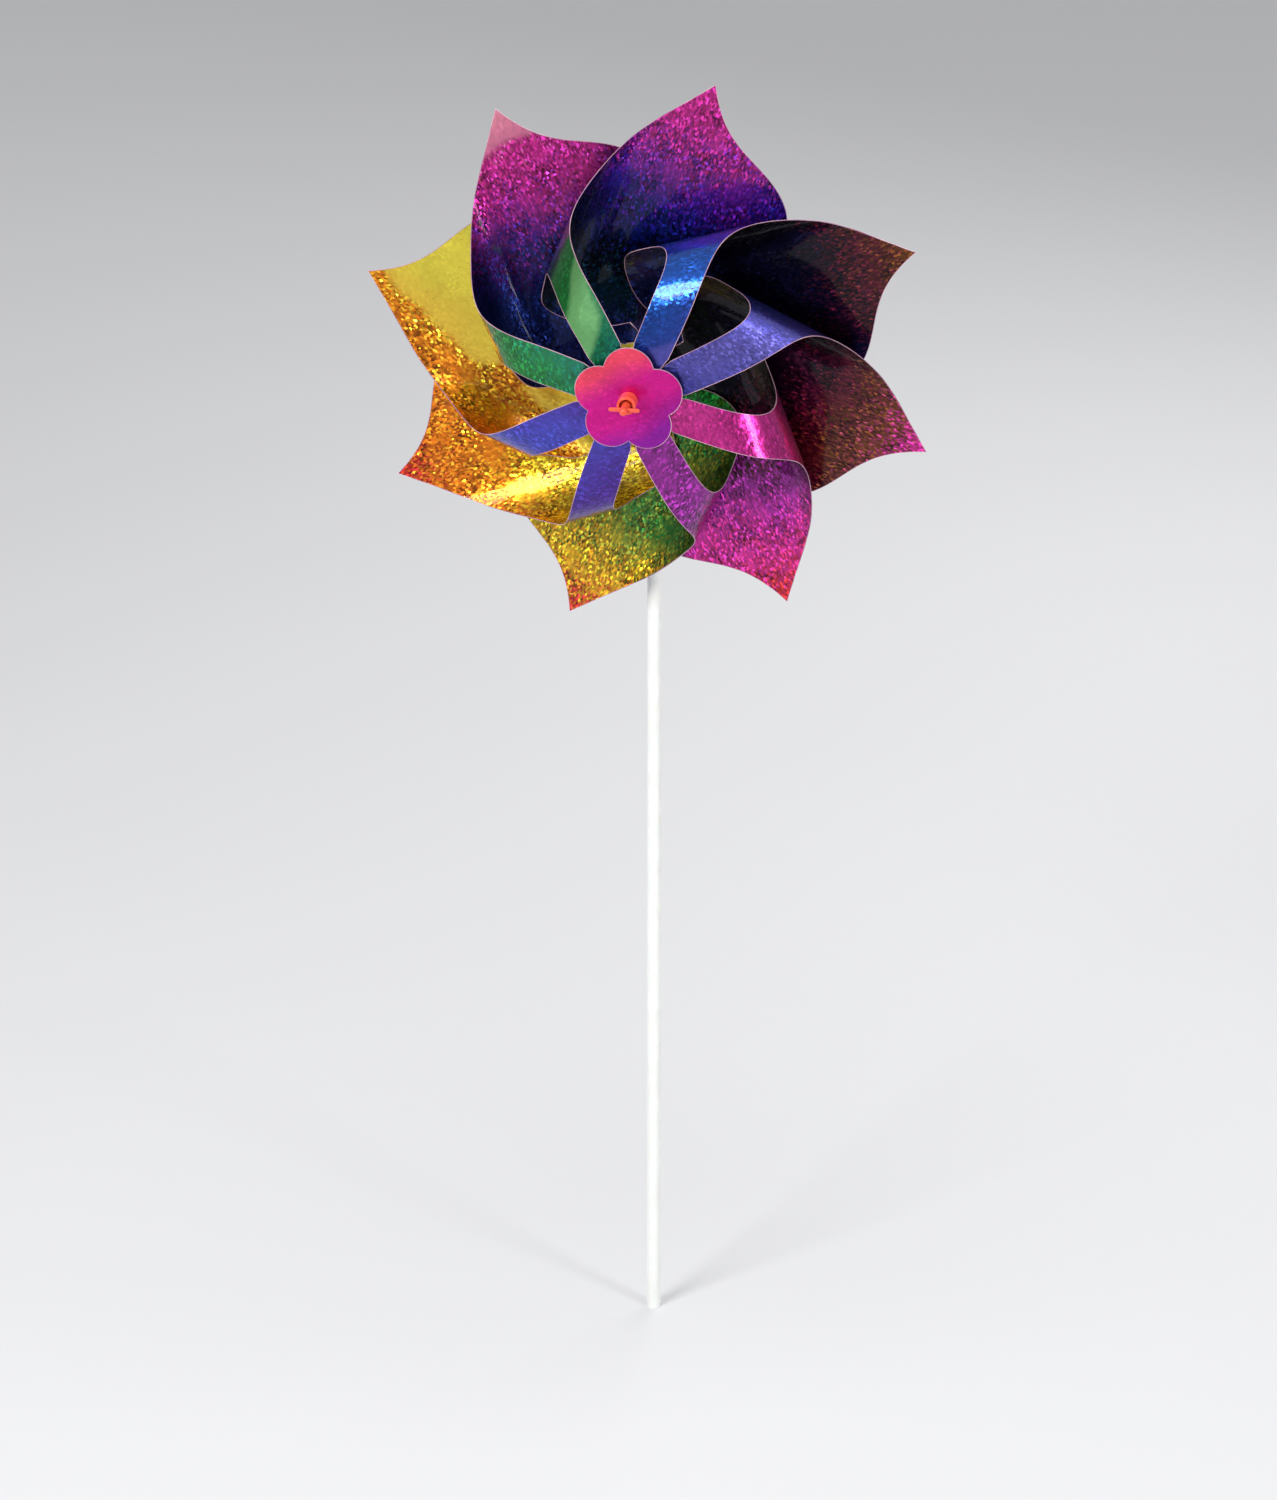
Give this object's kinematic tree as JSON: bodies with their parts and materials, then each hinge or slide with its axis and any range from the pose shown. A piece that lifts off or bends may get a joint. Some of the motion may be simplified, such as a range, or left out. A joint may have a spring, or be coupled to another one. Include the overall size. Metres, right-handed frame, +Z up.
{
  "type": "pinwheel",
  "caption": "Toy pinwheel: curled film petals with horn tips held by a flower washer on a tube that spins on a winged pin at the top of a straight stick.",
  "frame": {"origin": "centre of the stick's open lower end", "axes": "+Z up along the stick, the axle along Y, the wheel's front faces -Y"},
  "size_m": [0.2002, 0.0776, 0.4913],
  "materials": {
    "white_plastic": "moulded and extruded white plastic, satin gloss",
    "coral_plastic": "moulded coral red plastic, satin gloss",
    "flower_film": "holographic film, magenta to violet sheen",
    "petal_film": "holographic crackle film, mirror-like, colours shift through the rainbow"
  },
  "bodies": {
    "handle": {"stick": "white_plastic", "stick_head": "white_plastic", "axle_pin": "coral_plastic", "rear_washer": "white_plastic"},
    "wheel": {"sleeve": "coral_plastic", "rear_collar": "coral_plastic", "front_collar": "coral_plastic", "flower_washer": "flower_film", "petal_1": "petal_film", "petal_2": "petal_film", "petal_3": "petal_film", "petal_4": "petal_film", "petal_5": "petal_film", "petal_6": "petal_film", "petal_7": "petal_film", "petal_8": "petal_film"}
  },
  "joints": [
    {"name": "wheel_spin", "type": "hinge", "parent": "handle", "child": "wheel", "pos_m": [0, 0, 0.39], "axis": [0, -1, 0], "continuous": true}
  ]
}
